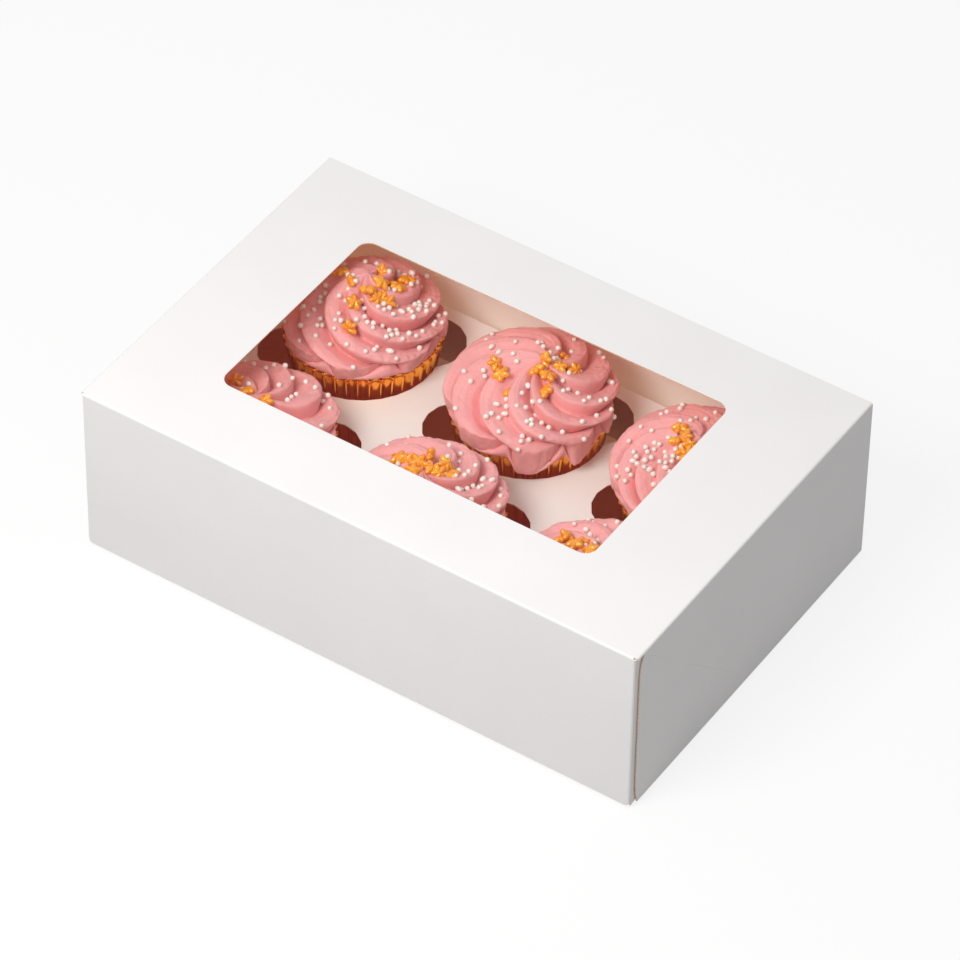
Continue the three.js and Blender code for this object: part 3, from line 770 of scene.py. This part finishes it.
def pearl_finish(settings):
    """White sugar pearls with a faint lustre."""
    finish = Finish("sugar_pearl")
    place = finish.place()
    grain = finish.noise(place, 0.0005, detail=2.0)
    tone = finish.noise(place, 0.004, detail=1.0)
    color = finish.tones(tone, settings.pearl_color, 0.9, 1.05)
    finish.set(Base_Color=color, Roughness=finish.ramp(grain, 0.3, 0.7, 0.3, 0.42))
    surface = finish.surface.inputs
    surface["Coat Weight"].default_value = 0.3
    surface["Coat Roughness"].default_value = 0.2
    surface["Subsurface Weight"].default_value = 0.2
    surface["Subsurface Scale"].default_value = 0.0008
    finish.set(Normal=finish.bump(grain, 0.15, 0.00008))
    return finish


def star_shape(radius, puff):
    """Points and faces of a puffed five-pointed star round the origin."""
    points = [(0.0, 0.0, puff)]
    outline = []
    for i in range(STAR_COLUMNS):
        angle = i * 2 * math.pi / STAR_COLUMNS
        arm = abs(math.cos(2.5 * angle)) ** 1.7
        outline.append((angle, radius * (STAR_WAIST + (1 - STAR_WAIST) * arm), arm))
    levels = [math.sin(math.pi / 2 * (k + 1) / STAR_RINGS) for k in range(STAR_RINGS)]
    for side in (1, -1):
        chosen = levels if side == 1 else levels[-2::-1]
        for level in chosen:
            for angle, reach, arm in outline:
                height = puff * side * (1 - level ** 2.6) ** 0.6 * (0.78 + 0.22 * arm)
                out = reach * level
                points.append((out * math.cos(angle), out * math.sin(angle), height))
    points.append((0.0, 0.0, -puff))
    rows = 2 * STAR_RINGS - 1
    faces = [tuple(quad)[::-1] for quad in grid_faces(rows, STAR_COLUMNS, 1).tolist()]
    last = 1 + (rows - 1) * STAR_COLUMNS
    for i in range(STAR_COLUMNS):
        after = (i + 1) % STAR_COLUMNS
        faces.append((0, 1 + i, 1 + after))
        faces.append((len(points) - 1, last + after, last + i))
    return np.array(points), faces


def pixel_ray(pixel):
    """Direction from the camera through a pixel of the photograph."""
    scale = PHOTO_WIDTH * CAMERA_LENS / CAMERA_SENSOR
    right = (pixel[0] - PHOTO_WIDTH / 2) / scale
    down = (pixel[1] - PHOTO_WIDTH / 2) / scale
    return (CAMERA_FORWARD + CAMERA_RIGHT * right + CAMERA_DOWN * down).normalized()


def swirl_tree(number):
    """Search tree of a swirl's surface."""
    mesh = bpy.data.objects["swirl_%d" % number].data
    return BVHTree.FromPolygons([v.co for v in mesh.vertices], [p.vertices for p in mesh.polygons])


def copies_mesh(name, points, faces, places, finish):
    """One mesh of many copies of a small shape; places are 4x4 matrices."""
    all_points, all_faces = [], []
    flat = np.concatenate([points, np.ones((len(points), 1))], axis=1)
    for place in places:
        start = sum(len(part) for part in all_points)
        all_points.append((flat @ np.array(place).T)[:, :3])
        all_faces.extend(tuple(start + k for k in face) for face in faces)
    return mesh_object(name, np.concatenate(all_points), all_faces, [finish])


def lay_stars(number, settings, finish):
    """Stars where the photograph shows them, each lying or standing on the swirl."""
    tree = swirl_tree(number)
    source = random.Random(70 + number)
    points, faces = star_shape(settings.star_radius, settings.star_puff)
    places = []
    pixels = [(pixel, False) for pixel in STAR_PIXELS[number]]
    pixels += [(pixel, True) for pixel in UPRIGHT_PIXELS[number]]
    for pixel, upright in pixels:
        hit, normal, _, _ = tree.ray_cast(CAMERA_PLACE, pixel_ray(pixel))
        if hit is None:
            raise RuntimeError("no frosting at star pixel %s of cupcake %d" % (pixel, number))
        tilt = Vector((source.gauss(0, 0.4), source.gauss(0, 0.4), 0))
        up = (normal * 0.6 + Vector((0, 0, 0.4)) + tilt).normalized()
        lay = up.to_track_quat("Z", "Y")
        spin = Quaternion((0, 0, 1), source.uniform(0, 2 * math.pi))
        if upright:
            lay = lay @ Quaternion((1, 0, 0), math.pi / 2 * source.uniform(0.75, 0.95))
        rise = settings.star_radius * 0.55 if upright else settings.star_puff * 0.5
        scale = source.uniform(0.9, 1.05)
        turn = (lay @ spin).to_matrix().to_4x4()
        places.append(Matrix.Translation(hit + normal * rise) @ turn @ Matrix.Scale(scale, 4))
    obj = copies_mesh("stars_on_swirl_%d" % number, points, faces, places, finish)
    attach(obj, "base")
    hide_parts("stars_%d" % number)
    return obj


def ball_shape(radius):
    """Points and faces of a ball."""
    ball = bmesh.new()
    bmesh.ops.create_icosphere(ball, subdivisions=2, radius=radius)
    points = np.array([v.co[:] for v in ball.verts])
    faces = [tuple(v.index for v in face.verts) for face in ball.faces]
    ball.free()
    return points, faces


def strew_pearls(number, settings, finish):
    """Pearls in the photograph's dense patches and thinly all over the swirl."""
    tree = swirl_tree(number)
    source = random.Random(90 + number)
    points, faces = ball_shape(settings.pearl_radius)
    foot, rim, _ = case_middle(number)
    radius = PIPING[number]["radius"] * MM
    above, lowest = rim + 60 * MM, rim + 2 * MM
    spots = []
    for pixel, spread, count in PEARL_PATCHES[number]:
        hit, _, _, _ = tree.ray_cast(CAMERA_PLACE, pixel_ray(pixel))
        if hit is None:
            continue
        for _ in range(count):
            far = spread * MM * math.sqrt(source.random())
            way = source.uniform(0, 2 * math.pi)
            spots.append((hit.x + far * math.cos(way), hit.y + far * math.sin(way)))
    for _ in range(settings.loose_pearls):
        far = radius * math.sqrt(source.random())
        way = source.uniform(0, 2 * math.pi)
        spots.append((foot.x + far * math.cos(way), foot.y + far * math.sin(way)))
    places, middles = [], []
    for x, y in spots:
        hit, normal, _, _ = tree.ray_cast(Vector((x, y, above)), Vector((0, 0, -1)))
        if hit is None or hit.z < lowest:
            continue
        middle = hit + normal * settings.pearl_radius * source.uniform(0.35, 0.75)
        if any((middle - other).length < settings.pearl_radius * 1.9 for other in middles):
            continue
        middles.append(middle)
        long = source.uniform(*GRAIN_LENGTH) if source.random() < GRAIN_SHARE else 1.0
        shape = Matrix.Diagonal((long, 1.0, 1.0, 1.0))
        turn = Quaternion((0, 0, 1), source.uniform(0, math.pi)).to_matrix().to_4x4()
        places.append(Matrix.Translation(middle) @ turn @ shape @ Matrix.Scale(
            source.uniform(0.86, 1.08), 4))
    obj = copies_mesh("pearls_%d" % number, points, faces, places, finish)
    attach(obj, "base")
    return obj


class CUPCAKEBOX_OT_carton(bpy.types.Operator):
    """Finish the tray, the lid and the holder as folding board"""

    bl_idname = "cupcakebox.carton"
    bl_label = "Finish Carton"

    def execute(self, context):
        carton = context.scene.cupcake_carton
        colors = (carton.board_color, carton.inside_color)
        finish_node("lid", board_finish("lid_board", carton, *colors, lid_outside, below=False))
        finish_node("base_tray", board_finish("tray_board", carton, *colors, tray_outside))
        finish_node("holder", board_finish(
            "holder_board", carton, carton.holder_color, carton.holder_color, holder_top))
        return {"FINISHED"}


class CUPCAKEBOX_OT_film(bpy.types.Operator):
    """Finish the window as clear glossy film"""

    bl_idname = "cupcakebox.film"
    bl_label = "Finish Window Film"

    def execute(self, context):
        finish = Finish("clear_film")
        place = finish.place()
        ripple = finish.noise(place, 0.03, detail=1.0)
        surface = finish.surface.inputs
        surface["Base Color"].default_value = (0.6, 0.6, 0.6, 1.0)
        surface["Alpha"].default_value = context.scene.cupcake_carton.film_alpha
        surface["Specular IOR Level"].default_value = 0.2
        finish.set(Roughness=finish.ramp(ripple, 0.3, 0.7, 0.04, 0.09))
        finish.set(Normal=finish.bump(ripple, 0.2, 0.0004))
        finish_node("window_film", finish)
        return {"FINISHED"}


class CUPCAKEBOX_OT_cases(bpy.types.Operator):
    """Pleat the six foil cases"""

    bl_idname = "cupcakebox.cases"
    bl_label = "Pleat Cases"

    def execute(self, context):
        settings = context.scene.cupcake_cases
        finishes = [foil_finish(settings), liner_finish(settings)]
        for number in CUPCAKES:
            pleat_case(number, settings, finishes)
        return {"FINISHED"}


class CUPCAKEBOX_OT_swirls(bpy.types.Operator):
    """Pipe the frosting and finish the sponge under it"""

    bl_idname = "cupcakebox.swirls"
    bl_label = "Pipe Frosting"

    def execute(self, context):
        settings = context.scene.cupcake_frosting
        frosting = frosting_finish(settings)
        sponge = sponge_finish(settings)
        for number in CUPCAKES:
            pipe_swirl(number, frosting)
            finish_node("sponge_%d" % number, sponge)
        return {"FINISHED"}


class CUPCAKEBOX_OT_stars(bpy.types.Operator):
    """Lay the star sprinkles on the frosting"""

    bl_idname = "cupcakebox.stars"
    bl_label = "Lay Stars"

    def execute(self, context):
        settings = context.scene.cupcake_frosting
        finish = star_finish(settings)
        for number in CUPCAKES:
            lay_stars(number, settings, finish)
        return {"FINISHED"}


class CUPCAKEBOX_OT_pearls(bpy.types.Operator):
    """Strew the sugar pearls over the frosting"""

    bl_idname = "cupcakebox.pearls"
    bl_label = "Strew Pearls"

    def execute(self, context):
        settings = context.scene.cupcake_frosting
        finish = pearl_finish(settings)
        for number in CUPCAKES:
            strew_pearls(number, settings, finish)
        return {"FINISHED"}


class CUPCAKEBOX_OT_stage(bpy.types.Operator):
    """Set the floor, the studio light and the photograph's camera"""

    bl_idname = "cupcakebox.stage"
    bl_label = "Set Stage"

    def execute(self, context):
        scene = context.scene
        settings = scene.cupcake_stage
        scene.view_settings.view_transform = "Standard"
        place_camera(scene)
        lay_floor(settings)
        light_world(scene, settings)
        aim_lamp("key_light", KEY_PLACE, KEY_TARGET, KEY_SIZE, settings.key_power, KEY_COLOR)
        return {"FINISHED"}


def place_camera(scene):
    """Camera that sees the box as the photograph shows it."""
    data = bpy.data.cameras.new("photo_camera")
    data.lens = CAMERA_LENS
    data.sensor_width = CAMERA_SENSOR
    data.clip_end = 20.0
    camera = bpy.data.objects.new("photo_camera", data)
    scene.collection.objects.link(camera)
    turn = Matrix((CAMERA_RIGHT, -CAMERA_DOWN, -CAMERA_FORWARD)).transposed().to_4x4()
    camera.matrix_world = Matrix.Translation(CAMERA_PLACE) @ turn
    scene.camera = camera


def aim_lamp(name, place, target, size, power, color):
    """Round soft lamp that faces a point."""
    data = bpy.data.lights.new(name, "AREA")
    data.shape = "DISK"
    data.size = size
    data.energy = power
    data.color = color
    lamp = bpy.data.objects.new(name, data)
    bpy.context.scene.collection.objects.link(lamp)
    turn = (target - place).to_track_quat("-Z", "Y").to_matrix().to_4x4()
    lamp.matrix_world = Matrix.Translation(place) @ turn


def plain_rays(finish):
    """1 for camera, glossy and transmission rays."""
    path = finish.node("ShaderNodeLightPath").outputs
    seen = finish.math("MAXIMUM", path["Is Camera Ray"], path["Is Glossy Ray"])
    return finish.math("MAXIMUM", seen, path["Is Transmission Ray"])


def lay_floor(settings):
    """White ground that keeps the box's shadow."""
    corners = ((-1, -1), (1, -1), (1, 1), (-1, 1))
    points = [(x * FLOOR_HALF, y * FLOOR_HALF, FLOOR_LEVEL) for x, y in corners]
    finish = Finish("white_ground")
    place = finish.place()
    tone = finish.noise(place, 0.4, detail=1.0)
    color = finish.tones(tone, settings.floor_color, 0.99, 1.0)
    dim = finish.blend(1.0, color, rgba((1.0, 1.0, 1.0), settings.floor_bounce), mode="MULTIPLY")
    finish.set(Base_Color=finish.blend(plain_rays(finish), dim, color))
    finish.surface.inputs["Roughness"].default_value = 0.9
    finish.surface.inputs["Specular IOR Level"].default_value = 0.1
    glow = finish.node("ShaderNodeEmission", {"Color": (1.0, 1.0, 1.0, 1.0), "Strength": 1.0})
    share = finish.math("MULTIPLY", plain_rays(finish), settings.floor_glow)
    mix = finish.node("ShaderNodeMixShader", {
        0: share, 1: finish.surface.outputs[0], 2: glow.outputs[0]})
    finish.links.new(mix.outputs[0], finish.output.inputs["Surface"])
    floor = mesh_object("white_floor", points, [(0, 1, 2, 3)], [finish])


def light_world(scene, settings):
    """Even light from all round, and plain white behind the box."""
    world = bpy.data.worlds.new("studio")
    scene.world = world
    world.use_nodes = True
    nodes, links = world.node_tree.nodes, world.node_tree.links
    ambient = nodes["Background"]
    ambient.inputs["Color"].default_value = (0.99, 0.99, 1.0, 1.0)
    ambient.inputs["Strength"].default_value = settings.ambient
    plain = nodes.new("ShaderNodeBackground")
    plain.inputs["Color"].default_value = (1.0, 1.0, 1.0, 1.0)
    plain.inputs["Strength"].default_value = 1.0
    path = nodes.new("ShaderNodeLightPath").outputs
    seen = nodes.new("ShaderNodeMath")
    seen.operation = "MAXIMUM"
    links.new(path["Is Camera Ray"], seen.inputs[0])
    links.new(path["Is Glossy Ray"], seen.inputs[1])
    also = nodes.new("ShaderNodeMath")
    also.operation = "MAXIMUM"
    links.new(seen.outputs[0], also.inputs[0])
    links.new(path["Is Transmission Ray"], also.inputs[1])
    mix = nodes.new("ShaderNodeMixShader")
    links.new(also.outputs[0], mix.inputs[0])
    links.new(ambient.outputs[0], mix.inputs[1])
    links.new(plain.outputs[0], mix.inputs[2])
    links.new(mix.outputs[0], nodes["World Output"].inputs["Surface"])


class CUPCAKEBOX_PT_panel(bpy.types.Panel):
    """Cupcake box settings and steps"""

    bl_idname = "CUPCAKEBOX_PT_panel"
    bl_label = "Cupcake Box"
    bl_space_type = "VIEW_3D"
    bl_region_type = "UI"
    bl_category = "Cupcake Box"

    def draw(self, context):
        layout = self.layout
        for title, attribute, kind, steps in SECTIONS:
            box = layout.box()
            box.label(text=title)
            settings = getattr(context.scene, attribute)
            for name in kind.__annotations__:
                box.prop(settings, name)
            for step in steps:
                box.operator(step.bl_idname)


SECTIONS = (
    ("Carton", "cupcake_carton", CartonSettings, (CUPCAKEBOX_OT_carton, CUPCAKEBOX_OT_film)),
    ("Cases", "cupcake_cases", CaseSettings, (CUPCAKEBOX_OT_cases,)),
    ("Frosting", "cupcake_frosting", FrostingSettings,
     (CUPCAKEBOX_OT_swirls, CUPCAKEBOX_OT_stars, CUPCAKEBOX_OT_pearls)),
    ("Stage", "cupcake_stage", StageSettings, (CUPCAKEBOX_OT_stage,)),
)


def register():
    """Registers settings, steps and the panel."""
    for _, attribute, kind, steps in SECTIONS:
        bpy.utils.register_class(kind)
        for step in steps:
            bpy.utils.register_class(step)
        setattr(bpy.types.Scene, attribute, bpy.props.PointerProperty(type=kind))
    bpy.utils.register_class(CUPCAKEBOX_PT_panel)


def unregister():
    """Takes them away again."""
    bpy.utils.unregister_class(CUPCAKEBOX_PT_panel)
    for _, attribute, kind, steps in reversed(SECTIONS):
        delattr(bpy.types.Scene, attribute)
        for step in steps:
            bpy.utils.unregister_class(step)
        bpy.utils.unregister_class(kind)


def main():
    """Builds every piece and the stage."""
    register()
    bpy.ops.cupcakebox.stage()
    bpy.ops.cupcakebox.carton()
    bpy.ops.cupcakebox.film()
    bpy.ops.cupcakebox.cases()
    bpy.ops.cupcakebox.swirls()
    bpy.ops.cupcakebox.stars()
    bpy.ops.cupcakebox.pearls()


if __name__ == "__main__":
    main()
